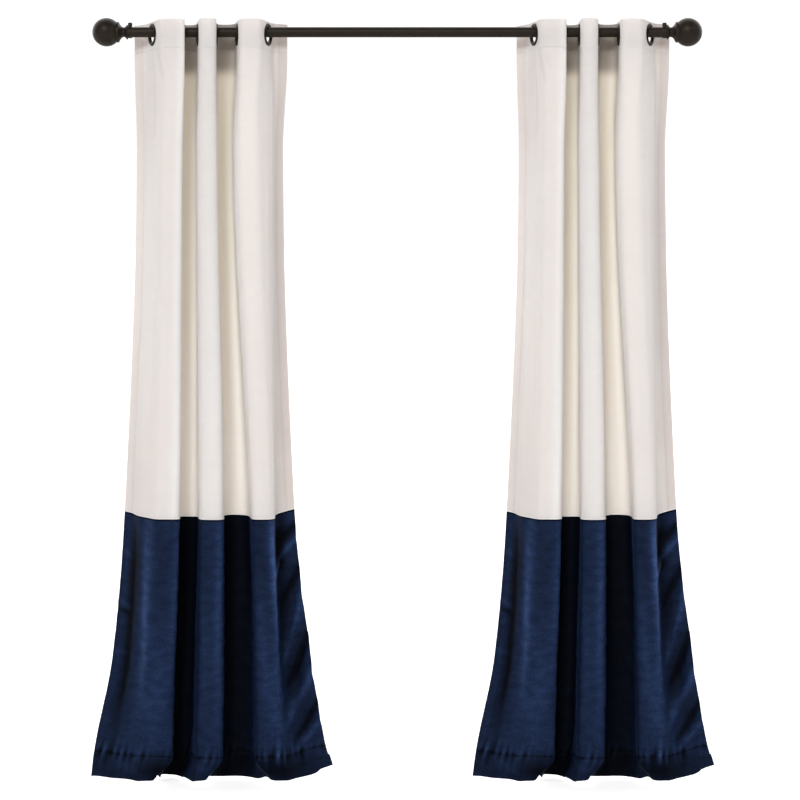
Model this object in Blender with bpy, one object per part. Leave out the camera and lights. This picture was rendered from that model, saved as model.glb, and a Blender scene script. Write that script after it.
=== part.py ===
"""A pair of two-colour eyelet curtains on a round rod with ball finials.

Metres, +Z up. The origin is the middle of the rod's axis, the room is towards -Y and the wall
towards +Y. Each curtain is one flat cloth, cut in three lengths that are sewn edge to edge: a
stiffened heading, an ivory upper length and a navy lower length. The heading crosses the rod at six
eyelets, so the cloth swings out in three ridges with two valleys between them, and a short return
runs back behind the rod at each side.
"""

from collections import namedtuple
from math import asin, cos, pi, radians, sin

import bmesh
import bpy
import numpy as np
from mathutils import Matrix, Vector

MM = 0.001
FIT_GAP = 0.0003
SHARP_ANGLE = radians(40)

# The rod
ROD_DIAMETER = 0.0286
ROD_LENGTH = 1.500
ROD_SIDES = 24

# Each finial slips over an end of the rod, and a screw through its sleeve holds it there
SOCKET_DEPTH = 0.010
BALL_DIAMETER = 0.079
BALL_CENTRE = 0.0717
FINIAL_SIDES = 18
BALL_STEPS = 9
SCREW_DIAMETER = 0.012
SCREW_TOP = 0.0268
SCREW_PLACE = 0.0058
SCREW_SIDES = 12

# The finial's outline, in mm: how far out from its mouth each section lies, and how wide it is
Section = namedtuple("Section", "out diameter")
FINIAL_SECTIONS = {
    "mouth": Section(0.0, 31.8),
    "sleeve": Section(0.8, 33.4),
    "sleeve end": Section(12.3, 33.4),
    "bead foot": Section(12.3, 38.0),
    "bead": Section(13.2, 40.6),
    "bead end": Section(14.6, 40.6),
    "flare": Section(18.0, 32.8),
    "neck": Section(21.5, 27.4),
    "neck end": Section(24.0, 27.0),
    "cove": Section(28.0, 30.0),
    "cove end": Section(32.2, 38.6),
    "collar foot": Section(36.3, 53.0),
    "collar": Section(37.5, 57.4),
    "collar end": Section(43.0, 57.4),
    "ball foot": Section(44.2, 56.2),
}

# The eyelets
EYELET_PITCH = 0.160
EYELET_OUTER = 0.0620
EYELET_BORE = 0.0430
EYELET_NECK = 0.0480
EYELET_HEIGHT = 0.0088
EYELET_EDGE = 0.0015
EYELET_SIDES = 12
PUNCH_SIDES = 14

# The cloth, as cut
SIDE_MARGIN = 0.0825
HEADING_TOP = 0.0307
HEADING_DEPTH = 0.077
UPPER_END = 1.392
CLOTH_LENGTH = 2.138
ALONG_CLOTH = (0, UPPER_END, CLOTH_LENGTH)
HEADING_THICKNESS = 0.0026
CLOTH_THICKNESS = 0.0018

# Half the stretch that an eyelet holds flat, and how far down the cloth that hold fades away
FLAT_HALF = 0.033
FLAT_FADES = 0.300

# Where each curtain's middle line hangs, and how much the folds fan out from the middle of the rod
CURTAIN_MIDDLES = {"left": -0.520, "right": 0.546}
FAN_BACK = 0.134
FAN_DOWN = 0.0077

# How far down the cloth, in mm, each named level lies
LEVELS = {"rod": 87, "waist": 360, "seam": 1392, "calf": 1790, "stitch": 2066, "hem": 2138}

Levels = namedtuple("Levels", LEVELS.keys())

# A row for each thread that runs from an eyelet or a side edge to the hem: how far it hangs to the
# right of the curtain's middle line, in mm
ACROSS = {
    "left edge": Levels(-213, -207, -241, -274, -327, -337),
    "eyelet 1": Levels(-163, -166, -192, -212, -251, -259),
    "eyelet 2": Levels(-78, -83, -91, -104, -111, -139),
    "eyelet 3": Levels(-36, -40, -34, -43, -50, -78),
    "eyelet 4": Levels(14, 16, 33, 34, 30, 5),
    "eyelet 5": Levels(74, 64, 111, 120, 122, 134),
    "eyelet 6": Levels(158, 158, 177, 200, 240, 261),
    "right edge": Levels(213, 201, 233, 275, 320, 341),
}

# The same threads: how far they hang behind the rod's axis, in mm
BEHIND = {
    "eyelet 1": Levels(0, 0, 0, -5, -12, -10),
    "eyelet 2": Levels(0, 0, -8, -18, -26, -15),
    "eyelet 3": Levels(0, 0, 0, 0, -5, 0),
    "eyelet 4": Levels(0, 0, -5, -8, -8, 0),
    "eyelet 5": Levels(0, 0, 0, -14, -18, -10),
    "eyelet 6": Levels(0, 0, 0, -5, -10, -10),
}

# The same threads: the angle between the cloth and the rod there, in degrees. Past 90 the ridge
# overhangs its valley
CROSSING = {
    "eyelet 1": Levels(70, 56, 43, 33, 20, 12),
    "eyelet 2": Levels(96, 100, 106, 112, 112, 65),
    "eyelet 3": Levels(86, 86, 90, 88, 78, 55),
    "eyelet 4": Levels(90, 88, 96, 100, 98, 72),
    "eyelet 5": Levels(84, 80, 84, 98, 100, 40),
    "eyelet 6": Levels(70, 58, 90, 64, 38, 20),
}

# The way the side edges face at the end of their returns, in degrees back from the rod's line
EDGE_FACES = {
    "left edge": Levels(23, 15, 12, 8, 5, 4),
    "right edge": Levels(23, 17, -5, -20, -10, 5),
}

# A row for each fold: the side of the rod it swings to, then at the top, the seam and the hem where
# its crown lies between its two threads, and how far the crown hangs below its eyelets' line, in mm
Along = namedtuple("Along", "top seam hem")
Fold = namedtuple("Fold", "side crown sag")
FOLDS = [
    Fold(-1, Along(0.64, 0.74, 0.72), Along(-3, 0, 0)),
    Fold(1, Along(0.36, 0.36, 0.42), Along(6, 2, 6)),
    Fold(-1, Along(0.50, 0.60, 0.60), Along(-3, 0, 0)),
    Fold(1, Along(0.36, 0.40, 0.46), Along(5, -3, -2)),
    Fold(-1, Along(0.50, 0.50, 0.40), Along(-3, 0, 0)),
]

# The same for the side edges, whose hems draw up, and how far in from an edge that reaches
EDGE_SAGS = {"left": Along(9, -11, 4), "right": Along(6, -18, -11)}
EDGE_REACH = 0.165

# How the cloth is divided
FLAT_STEPS = 2
TURN_STEPS = 6
RETURN_STEPS = 3
HEADING_ROWS = 2
UPPER_ROWS = 7
LOWER_ROWS = 8
CURVE_STEPS = 12
DROP_STEPS = 25
HANDLE = 0.55
RETURN_HANDLE = 0.45


def clear_scene():
    for found in list(bpy.data.objects):
        bpy.data.objects.remove(found, do_unlink=True)


def material(name, colour, roughness, metallic=0.0):
    made = bpy.data.materials.new(name)
    made.use_nodes = True
    shader = made.node_tree.nodes["Principled BSDF"]
    shader.inputs["Base Color"].default_value = (*colour, 1.0)
    shader.inputs["Roughness"].default_value = roughness
    shader.inputs["Metallic"].default_value = metallic
    return made


def place(name, mesh, finish, parent=None):
    """Puts a mesh in the scene as an object of this name."""
    made = bpy.data.objects.new(name, mesh)
    bpy.context.scene.collection.objects.link(made)
    made.data.materials.append(finish)
    made.parent = parent
    return made


def turned(name, profile, sides, closed=False):
    """A mesh turned about Z from (radius, height) points. A closed profile makes a ring."""
    shape = bmesh.new()
    points = [shape.verts.new((radius, 0, height)) for radius, height in profile]
    pairs = list(zip(points, points[1:]))
    if closed:
        pairs.append((points[-1], points[0]))
    edges = [shape.edges.new(pair) for pair in pairs]
    bmesh.ops.spin(
        shape,
        geom=points + edges,
        cent=(0, 0, 0),
        axis=(0, 0, 1),
        angle=2 * pi,
        steps=sides,
        use_merge=True,
    )
    bmesh.ops.remove_doubles(shape, verts=shape.verts, dist=0.01 * MM)
    bmesh.ops.recalc_face_normals(shape, faces=shape.faces)
    mesh = bpy.data.meshes.new(name)
    shape.to_mesh(mesh)
    shape.free()
    mesh.shade_smooth()
    mesh.set_sharp_from_angle(angle=SHARP_ANGLE)
    return mesh


def rod(finish):
    half = ROD_LENGTH / 2
    radius = ROD_DIAMETER / 2
    profile = [(0, -half), (radius, -half), (radius, half), (0, half)]
    made = place("rod", turned("rod", profile, ROD_SIDES), finish)
    made.rotation_euler = (0, pi / 2, 0)


def finial_profile():
    """(radius, distance out from the mouth) points, from the bottom of the socket to the tip."""
    socket = ROD_DIAMETER / 2 + FIT_GAP
    bottom = SOCKET_DEPTH + FIT_GAP
    points = [(0, bottom), (socket, bottom), (socket, 0)]
    points += [(part.diameter / 2 * MM, part.out * MM) for part in FINIAL_SECTIONS.values()]
    ball = BALL_DIAMETER / 2
    first = pi - asin(points[-1][0] / ball)
    for step in range(1, BALL_STEPS + 1):
        angle = first * (1 - step / BALL_STEPS)
        points.append((ball * sin(angle), BALL_CENTRE + ball * cos(angle)))
    return points


def screw_profile():
    """(radius, height above the rod's axis) points of a round-topped thumb screw."""
    radius = SCREW_DIAMETER / 2
    foot = FINIAL_SECTIONS["sleeve"].diameter / 2 * MM + FIT_GAP
    dome = radius / 3
    return [
        (0, foot),
        (radius, foot),
        (radius, SCREW_TOP - 2 * dome),
        (radius - dome, SCREW_TOP - dome / 2),
        (0, SCREW_TOP),
    ]


def finial(side, finish):
    mouth = -1 if side == "left" else 1
    mesh = turned("finial", finial_profile(), FINIAL_SIDES)
    made = place("finial_" + side, mesh, finish)
    made.location = (mouth * (ROD_LENGTH / 2 - SOCKET_DEPTH), 0, 0)
    made.rotation_euler = (0, mouth * pi / 2, 0)
    screw = place("finial_screw_" + side, turned("screw", screw_profile(), SCREW_SIDES), finish)
    screw.location = (mouth * (ROD_LENGTH / 2 - SOCKET_DEPTH + SCREW_PLACE), 0, 0)


def eased(values, down):
    """The value of a row of Levels this far down the cloth, on one smooth line through them."""
    places = [level * MM for level in LEVELS.values()]
    slopes = np.diff(values) / np.diff(places)
    inner = [0 if a * b <= 0 else 2 * a * b / (a + b) for a, b in zip(slopes, slopes[1:])]
    tangents = [0, *inner, slopes[-1]]
    down = min(max(down, places[0]), places[-1])
    i = min(int(np.searchsorted(places, down, side="right")) - 1, len(slopes) - 1)
    step = places[i + 1] - places[i]
    t = (down - places[i]) / step
    start = (1 + 2 * t) * (1 - t) ** 2 * values[i] + t * (1 - t) ** 2 * step * tangents[i]
    end = t * t * (3 - 2 * t) * values[i + 1] + t * t * (t - 1) * step * tangents[i + 1]
    return start + end


def smooth_step(t):
    t = min(max(t, 0.0), 1.0)
    return t * t * (3 - 2 * t)


def flat_half(down):
    fade = (down - LEVELS["rod"] * MM) / FLAT_FADES
    return FLAT_HALF * (1 - smooth_step(fade))


def curve(start, out, end, into, pull=HANDLE):
    """Points from start to end on a curve that leaves along out and arrives along into."""
    reach = pull * np.linalg.norm(end - start)
    t = np.linspace(0, 1, CURVE_STEPS + 1)[:, None]
    handles = (start, start + reach * out, end - reach * into, end)
    weights = ((1 - t) ** 3, 3 * t * (1 - t) ** 2, 3 * t * t * (1 - t), t**3)
    return sum(weight * handle for weight, handle in zip(weights, handles))


def length(points):
    return np.linalg.norm(np.diff(points, axis=0), axis=1).sum()


def along(points, fractions):
    """The points at these fractions of a line's length."""
    steps = np.linalg.norm(np.diff(points, axis=0), axis=1)
    run = np.concatenate([[0], np.cumsum(steps)])
    wanted = np.asarray(fractions) * run[-1]
    return np.stack([np.interp(wanted, run, points[:, i]) for i in (0, 1)], axis=1)


def solved(line_at, wanted, low, high):
    """The line whose length is the cloth's own, found by halving the range of its depth."""
    for _ in range(30):
        middle = (low + high) / 2
        if length(line_at(middle)) < wanted:
            low = middle
        else:
            high = middle
    return line_at((low + high) / 2)


def heading_of(thread, down, side):
    """The cloth's direction where it crosses a thread, on its way to this side of the rod."""
    angle = radians(eased(CROSSING[thread], down))
    return np.array([cos(angle), side * sin(angle)])


def thread_at(thread, down):
    behind = eased(BEHIND[thread], down) if thread in BEHIND else 0
    return np.array([eased(ACROSS[thread], down), behind]) * MM


def fold_line(number, down):
    """The plan of one fold this far down, from its left thread to its right one."""
    fold = FOLDS[number]
    left, right = f"eyelet {number + 1}", f"eyelet {number + 2}"
    out = heading_of(left, down, fold.side)
    back = heading_of(right, down, -fold.side)
    flat = flat_half(down)
    start, end = thread_at(left, down), thread_at(right, down)
    first, last = start + flat * out, end - flat * back
    share = np.interp(down, ALONG_CLOTH, fold.crown)
    crown_across = first[0] + share * (last[0] - first[0])
    level = np.array([1.0, 0.0])

    def line_at(depth):
        crown = np.array([crown_across, fold.side * depth])
        rise = curve(first, out, crown, level)
        fall = curve(crown, level, last, back)
        return np.vstack([start, rise, fall[1:], end])

    return solved(line_at, EYELET_PITCH, 0.0, EYELET_PITCH / 2)


def return_line(side, down):
    """The plan of a side return, from its eyelet's thread to the side edge."""
    thread = "eyelet 1" if side == "left" else "eyelet 6"
    outward = -1 if side == "left" else 1
    angle = radians(eased(CROSSING[thread], down))
    out = np.array([outward * cos(angle), sin(angle)])
    start = thread_at(thread, down)
    first = start + flat_half(down) * out
    across = eased(ACROSS[side + " edge"], down) * MM
    faces = radians(eased(EDGE_FACES[side + " edge"], down))
    level = np.array([outward * cos(faces), sin(faces)])

    def line_at(depth):
        end = np.array([across, start[1] + depth])
        return np.vstack([start, curve(first, out, end, level, RETURN_HANDLE)])

    return solved(line_at, SIDE_MARGIN, 0.0, SIDE_MARGIN)


def return_shares():
    flat = FLAT_HALF / SIDE_MARGIN
    held = np.linspace(0, flat, FLAT_STEPS + 1)
    return [*held, *np.linspace(flat, 1, RETURN_STEPS + 1)[1:]]


def fold_shares():
    flat = FLAT_HALF / EYELET_PITCH
    held = np.linspace(0, flat, FLAT_STEPS + 1)[1:]
    turn = np.linspace(flat, 1 - flat, TURN_STEPS + 1)[1:]
    return [*held, *turn, *(1 - flat + held)]


def plan(down):
    """The plan of the whole cloth this far down: one (across, behind) point for each column."""
    rows = [along(return_line("left", down), return_shares())[::-1]]
    rows += [along(fold_line(number, down), fold_shares()) for number in range(len(FOLDS))]
    rows.append(along(return_line("right", down), return_shares()[1:]))
    return np.vstack(rows)


def column_places():
    """How far each column lies from the left side edge, over the flat cloth."""
    left = [SIDE_MARGIN * (1 - share) for share in reversed(return_shares())]
    pitches = [SIDE_MARGIN + EYELET_PITCH * i for i in range(len(FOLDS) + 1)]
    folds = [start + EYELET_PITCH * share for start in pitches[:-1] for share in fold_shares()]
    right = [pitches[-1] + SIDE_MARGIN * share for share in return_shares()[1:]]
    return np.array(left + folds + right)


def sags(down):
    """How far each column hangs below the ridges, this far down the cloth."""
    width = 2 * SIDE_MARGIN + len(FOLDS) * EYELET_PITCH
    places = column_places()
    found = np.zeros(len(places))
    for number, fold in enumerate(FOLDS):
        crown = SIDE_MARGIN + EYELET_PITCH * (number + 0.5)
        share = np.clip(np.abs(places - crown) / EYELET_PITCH, 0, 0.5)
        found += np.interp(down, ALONG_CLOTH, fold.sag) * np.cos(pi * share) ** 2
    for side, from_edge in (("left", places), ("right", width - places)):
        share = np.clip(1 - from_edge / EDGE_REACH, 0, 1)
        found += np.interp(down, ALONG_CLOTH, EDGE_SAGS[side]) * share**2
    return found * MM


def cloth_surface(middle, first, last, rows):
    """Rows of points on the hanging cloth, between two distances down its threads."""
    wanted = np.linspace(first, last, rows + 1)
    before, before_down, fallen, found = plan(0.0), 0.0, 0.0, []
    for down in sorted({*wanted, *np.linspace(0, last, DROP_STEPS)}):
        now = plan(down)
        run = (down - before_down) ** 2 - ((now - before) ** 2).sum(axis=1)
        fallen = fallen + np.sqrt(np.maximum(run, 0))
        if down in wanted:
            height = HEADING_TOP - fallen - sags(down)
            across = (middle + now[:, 0]) * (1 + FAN_BACK * now[:, 1] - FAN_DOWN * height)
            found.append(np.stack([across, now[:, 1], height], axis=1))
        before, before_down = now, down
    return np.array(found)


def cloth_piece(name, middle, first, last, rows, thickness, finish):
    """A sheet of cloth between two distances down its threads, solid all round."""
    points = cloth_surface(middle, first, last, rows)
    down, across = points.shape[:2]
    faces = [
        (i * across + j, (i + 1) * across + j, (i + 1) * across + j + 1, i * across + j + 1)
        for i in range(down - 1)
        for j in range(across - 1)
    ]
    mesh = bpy.data.meshes.new(name)
    mesh.from_pydata(points.reshape(-1, 3).tolist(), [], faces)
    mesh.shade_smooth()
    made = place(name, mesh, finish)
    sheet = made.modifiers.new("sheet", "SOLIDIFY")
    sheet.thickness = thickness
    sheet.offset = 0
    return made


def eyelet_places(middle):
    """Each eyelet's centre and the direction of its axis."""
    drop = EYELET_BORE / 2 - ROD_DIAMETER / 2 - FIT_GAP
    for number in range(1, 7):
        thread = f"eyelet {number}"
        across = middle + ACROSS[thread].rod * MM
        side = -1 if number % 2 else 1
        direction = heading_of(thread, 0, side)
        along_cloth = Vector((direction[0] + across * FAN_BACK * direction[1], direction[1], 0))
        axis = along_cloth.normalized().cross(Vector((0, 0, 1)))
        yield number, Vector((across, 0, -drop)), axis


def eyelet_profile():
    """A closed (radius, height) outline whose groove takes the heading's edge."""
    bore = EYELET_BORE / 2 / cos(pi / EYELET_SIDES)
    rim, neck = EYELET_OUTER / 2, EYELET_NECK / 2
    groove = HEADING_THICKNESS / 2 + FIT_GAP
    top = EYELET_HEIGHT / 2
    half = [(neck, groove), (rim, groove), (rim - EYELET_EDGE, top), (bore + EYELET_EDGE, top)]
    return half + [(bore, 0)] + [(radius, -height) for radius, height in reversed(half)]


def eyelets(side, middle, finish):
    mesh = turned("eyelet", eyelet_profile(), EYELET_SIDES, closed=True)
    mesh.transform(Matrix.Rotation(pi / EYELET_SIDES, 4, "Z"))
    for number, centre, axis in eyelet_places(middle):
        made = place(f"{side}_eyelet_{number}", mesh, finish)
        upright = Vector((0, 0, 1))
        turn = Matrix((upright, axis.cross(upright), axis)).transposed().to_4x4()
        made.matrix_world = Matrix.Translation(centre) @ turn


def punch_eyelet_holes(heading, middle):
    """Cuts a round hole at each eyelet, a little wider than the eyelet's neck."""
    radius = (EYELET_NECK / 2 + FIT_GAP) / cos(pi / PUNCH_SIDES)
    shape = bmesh.new()
    for _, centre, axis in eyelet_places(middle):
        turn = axis.to_track_quat("Z", "Y").to_matrix().to_4x4()
        bmesh.ops.create_cone(
            shape,
            cap_ends=True,
            segments=PUNCH_SIDES,
            radius1=radius,
            radius2=radius,
            depth=4 * HEADING_THICKNESS,
            matrix=Matrix.Translation(centre) @ turn,
        )
    mesh = bpy.data.meshes.new(heading.name + "_punch")
    shape.to_mesh(mesh)
    shape.free()
    punch = bpy.data.objects.new(mesh.name, mesh)
    bpy.context.scene.collection.objects.link(punch)
    punch.hide_render = True
    punch.display_type = "WIRE"
    cut = heading.modifiers.new("eyelet holes", "BOOLEAN")
    cut.operation = "DIFFERENCE"
    cut.object = punch


def curtain(side, middle, ivory, navy, metal):
    seam = HEADING_DEPTH + FIT_GAP
    heading = cloth_piece(
        side + "_heading", middle, 0, HEADING_DEPTH, HEADING_ROWS, HEADING_THICKNESS, ivory
    )
    punch_eyelet_holes(heading, middle)
    cloth_piece(side + "_upper", middle, seam, UPPER_END, UPPER_ROWS, CLOTH_THICKNESS, ivory)
    cloth_piece(
        side + "_lower",
        middle,
        UPPER_END + FIT_GAP,
        CLOTH_LENGTH,
        LOWER_ROWS,
        CLOTH_THICKNESS,
        navy,
    )
    eyelets(side, middle, metal)


def main():
    clear_scene()
    ivory = material("ivory velvet", (0.80, 0.76, 0.71), 0.90)
    navy = material("navy velvet", (0.012, 0.030, 0.105), 0.75)
    bronze = material("dark bronze", (0.035, 0.028, 0.024), 0.38, 0.80)
    rod(bronze)
    finial("left", bronze)
    finial("right", bronze)
    for side, middle in CURTAIN_MIDDLES.items():
        curtain(side, middle, ivory, navy, bronze)


main()
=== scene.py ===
# %% [markdown]
# A pair of two-colour velvet curtains on a rod
# Each curtain is one flat cloth with a stiffened heading, an ivory length and a navy length. Six
# eyelets let the heading cross the rod back and forth, and that alone makes the folds: three ridges
# towards the room, two valleys between them, and a short return behind the rod at each side.
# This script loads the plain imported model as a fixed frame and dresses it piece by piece.

from collections import namedtuple
from math import asin, atan, cos, pi, radians, sin

import bmesh
import bpy
import numpy as np
from mathutils import Matrix, Vector


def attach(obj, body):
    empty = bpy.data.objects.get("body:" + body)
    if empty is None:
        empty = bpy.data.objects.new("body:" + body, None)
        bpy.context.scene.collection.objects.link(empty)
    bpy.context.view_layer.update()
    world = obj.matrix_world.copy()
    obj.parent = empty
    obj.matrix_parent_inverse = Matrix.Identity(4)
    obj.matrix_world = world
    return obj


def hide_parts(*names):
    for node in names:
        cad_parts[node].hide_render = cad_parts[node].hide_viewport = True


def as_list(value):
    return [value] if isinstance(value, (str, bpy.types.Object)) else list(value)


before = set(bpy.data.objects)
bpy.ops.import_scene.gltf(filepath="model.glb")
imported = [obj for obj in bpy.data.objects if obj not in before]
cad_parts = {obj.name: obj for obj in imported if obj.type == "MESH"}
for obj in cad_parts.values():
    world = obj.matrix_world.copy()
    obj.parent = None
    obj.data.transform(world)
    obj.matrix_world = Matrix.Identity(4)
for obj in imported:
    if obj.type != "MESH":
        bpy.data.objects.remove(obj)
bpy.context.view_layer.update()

# %% [markdown]
# The camera
# A long lens a good way off shows a curtain as it is sold: upright lines stay upright. The camera
# stands well below the rod and looks down a little, so the heading is seen from below and the hem
# from above.

# %% Set the camera
EYE = Vector((0.0075, -7.54, -0.5931))
FOCAL_PIXELS = 2684
PHOTO_WIDTH = 800
EYE_LEVEL_ABOVE_MIDDLE = 155
LOOKS_DOWN = atan(EYE_LEVEL_ABOVE_MIDDLE / FOCAL_PIXELS)


def add_object(name, data):
    made = bpy.data.objects.new(name, data)
    bpy.context.scene.collection.objects.link(made)
    return made


camera = add_object("camera", bpy.data.cameras.new("camera"))
camera.data.sensor_fit = "HORIZONTAL"
camera.data.lens = FOCAL_PIXELS / PHOTO_WIDTH * camera.data.sensor_width
camera.location = EYE
camera.rotation_euler = (pi / 2 - LOOKS_DOWN, 0, 0)
bpy.context.scene.camera = camera
print("lens:", round(camera.data.lens, 1), "mm")

# %% [markdown]
# Small helpers for shader nodes
# Every material and the studio itself are node trees. One helper adds a node, sets its settings and
# fills or links its inputs, so that a tree reads as a short list.


# %% Helpers for node trees
def add_node(tree, kind, inputs=None, **settings):
    made = tree.nodes.new("ShaderNode" + kind)
    for name, value in settings.items():
        setattr(made, name, value)
    for name, value in (inputs or {}).items():
        if isinstance(value, bpy.types.NodeSocket):
            tree.links.new(value, made.inputs[name])
        else:
            made.inputs[name].default_value = value
    return made


def blank_tree(owner):
    owner.use_nodes = True
    owner.node_tree.nodes.clear()
    return owner.node_tree


def new_material(name):
    made = bpy.data.materials.new(name)
    return made, blank_tree(made)


def ranged(tree, value, start, end, low=0.0, high=1.0, **settings):
    """How far the value is on its way from start to end, laid on the way from low to high."""
    inputs = {"Value": value, "From Min": start, "From Max": end, "To Min": low, "To Max": high}
    return add_node(tree, "MapRange", inputs, **settings).outputs[0]


# %% [markdown]
# The studio
# The curtains hang before white paper over a white floor. The main light is broad and stands in
# front, a little to the left, so each ridge shades the valley on its right. Two weaker ones at the
# sides bring out the pile. They are suns with a wide angle: both curtains get the same light, with
# soft shadows. The world is the white paper. It's bright behind the curtains, where it shines a
# little through the ivory cloth, and dim in front.

# %% Build the studio
FLOOR_HEIGHT = -2.114
FLOOR_REACH = 4000.0
FLOOR_GLOW = 0.7
PAPER_SEEN = 1.05
IN_FRONT = 0.04
BEHIND_CLOTH = 2.2


def studio_world():
    world = bpy.data.worlds.new("studio")
    bpy.context.scene.world = world
    tree = blank_tree(world)
    path = add_node(tree, "LightPath")
    seen = add_node(tree, "Background", {"Color": (1, 1, 1, 1), "Strength": PAPER_SEEN})
    direction = add_node(tree, "TexCoord")
    parts = add_node(tree, "SeparateXYZ", {0: direction.outputs["Generated"]})
    paper = ranged(tree, parts.outputs[1], 0.0, 0.6, IN_FRONT, BEHIND_CLOTH)
    light = add_node(tree, "Background", {"Color": (1, 0.99, 0.98, 1), "Strength": paper})
    shaders = {0: path.outputs["Is Camera Ray"], 1: light.outputs[0], 2: seen.outputs[0]}
    mixed = add_node(tree, "MixShader", shaders)
    add_node(tree, "OutputWorld", {"Surface": mixed.outputs[0]})


def studio_floor():
    mesh = bpy.data.meshes.new("floor")
    corners = [(-1, -1), (1, -1), (1, 1), (-1, 1)]
    points = [(x * FLOOR_REACH, y * FLOOR_REACH, FLOOR_HEIGHT) for x, y in corners]
    mesh.from_pydata(points, [], [(0, 1, 2, 3)])
    floor = add_object("floor", mesh)
    paper, tree = new_material("white paper")
    path = add_node(tree, "LightPath")
    shader = add_node(tree, "BsdfPrincipled", {"Base Color": (0.8, 0.8, 0.8, 1), "Roughness": 0.8})
    seen = {"Color": path.outputs["Is Camera Ray"], "Strength": FLOOR_GLOW}
    glow = add_node(tree, "Emission", seen)
    both = add_node(tree, "AddShader", {0: shader.outputs[0], 1: glow.outputs[0]})
    add_node(tree, "OutputMaterial", {"Surface": both.outputs[0]})
    mesh.materials.append(paper)


def soft_sun(name, azimuth, elevation, spread, power):
    """A sun seen azimuth degrees to the right of the viewer's back, and elevation degrees up."""
    light = bpy.data.lights.new(name, "SUN")
    light.energy = power
    light.angle = radians(spread)
    sun = add_object(name, light)
    sun.rotation_euler = (radians(90 - elevation), 0, radians(azimuth))


studio_world()
studio_floor()
soft_sun("main light", -14, 28, 16, 1.25)
soft_sun("left light", -45, 25, 25, 0.20)
soft_sun("right light", 50, 25, 25, 0.40)
bpy.context.scene.view_settings.view_transform = "Standard"
print("floor at", FLOOR_HEIGHT)

# %% [markdown]
# The cloth as it was cut
# The folds follow from the flat cloth: a thread that starts between two eyelets keeps its place in
# the cloth all the way down. So the sizes of the cut come first, then a table of where the threads
# under the eyelets hang, at six levels from the rod to the hem.

# %% The sizes of the cloth
MM = 0.001
PITCH = 0.160
SIDE_MARGIN = 0.0825
FOLD_COUNT = 5
CLOTH_WIDTH = 2 * SIDE_MARGIN + FOLD_COUNT * PITCH
HEADING_TOP = 0.0307
HEADING_DEPTH = 0.077
UPPER_END = 1.392
CLOTH_LENGTH = 2.138
SIDES = {"left": -0.520, "right": 0.546}
FAN_BACK = 0.134
FAN_DOWN = 0.0077

LEVELS = {"rod": 87, "waist": 360, "seam": 1392, "calf": 1790, "stitch": 2066, "hem": 2138}
Levels = namedtuple("Levels", LEVELS.keys())

ACROSS = {
    "left edge": Levels(-213, -207, -241, -274, -327, -337),
    "eyelet 1": Levels(-163, -166, -192, -212, -251, -259),
    "eyelet 2": Levels(-78, -83, -91, -104, -111, -139),
    "eyelet 3": Levels(-36, -40, -34, -43, -50, -78),
    "eyelet 4": Levels(14, 16, 33, 34, 30, 5),
    "eyelet 5": Levels(74, 64, 111, 120, 122, 134),
    "eyelet 6": Levels(158, 158, 177, 200, 240, 261),
    "right edge": Levels(213, 201, 233, 275, 320, 341),
}
BEHIND = {
    "eyelet 1": Levels(0, 0, 0, -5, -12, -10),
    "eyelet 2": Levels(0, 0, -8, -18, -26, -15),
    "eyelet 3": Levels(0, 0, 0, 0, -5, 0),
    "eyelet 4": Levels(0, 0, -5, -8, -8, 0),
    "eyelet 5": Levels(0, 0, 0, -14, -18, -10),
    "eyelet 6": Levels(0, 0, 0, -5, -10, -10),
}
CROSSING = {
    "eyelet 1": Levels(70, 56, 43, 33, 20, 12),
    "eyelet 2": Levels(96, 100, 106, 112, 112, 65),
    "eyelet 3": Levels(86, 86, 90, 88, 78, 55),
    "eyelet 4": Levels(90, 88, 96, 100, 98, 72),
    "eyelet 5": Levels(84, 80, 84, 98, 100, 40),
    "eyelet 6": Levels(70, 58, 90, 64, 38, 20),
}
EDGE_FACES = {
    "left edge": Levels(23, 15, 12, 8, 5, 4),
    "right edge": Levels(23, 17, -5, -20, -10, 5),
}
Along = namedtuple("Along", "top seam hem")
Fold = namedtuple("Fold", "side crown sag")
FOLDS = [
    Fold(-1, Along(0.64, 0.74, 0.72), Along(-3, 0, 0)),
    Fold(1, Along(0.36, 0.36, 0.42), Along(6, 2, 6)),
    Fold(-1, Along(0.50, 0.60, 0.60), Along(-3, 0, 0)),
    Fold(1, Along(0.36, 0.40, 0.46), Along(5, -3, -2)),
    Fold(-1, Along(0.50, 0.50, 0.40), Along(-3, 0, 0)),
]
EDGE_SAGS = {"left": Along(9, -11, 4), "right": Along(6, -18, -11)}
EDGE_REACH = 0.165
ALONG_CLOTH = (0, UPPER_END, CLOTH_LENGTH)
print("flat cloth:", round(CLOTH_WIDTH, 3), "by", CLOTH_LENGTH, "m")

# %% [markdown]
# From the table to a plan
# Between two levels a thread drifts on one smooth line. At any height the cloth's plan is a chain
# of folds: each leaves one thread, turns over at its crown and arrives at the next, and its depth
# is whatever makes the line exactly as long as the cloth between the two threads.

# %% One smooth line through a row of the table
FLAT_HALF = 0.033
FLAT_FADES = 0.300


def smooth_line(places, values, slopes, at):
    """The height, at one place, of the line that takes these values and slopes at its places."""
    i = min(int(np.searchsorted(places, at, side="right")) - 1, len(places) - 2)
    step = places[i + 1] - places[i]
    t = (at - places[i]) / step
    start = (1 + 2 * t) * (1 - t) ** 2 * values[i] + t * (1 - t) ** 2 * step * slopes[i]
    end = t * t * (3 - 2 * t) * values[i + 1] + t * t * (t - 1) * step * slopes[i + 1]
    return start + end


def eased(values, down):
    """A row of the table, this far down the cloth."""
    places = [level * MM for level in LEVELS.values()]
    steps = np.diff(values) / np.diff(places)
    inner = [0 if a * b <= 0 else 2 * a * b / (a + b) for a, b in zip(steps, steps[1:])]
    down = min(max(down, places[0]), places[-1])
    return smooth_line(places, values, [0, *inner, steps[-1]], down)


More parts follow.
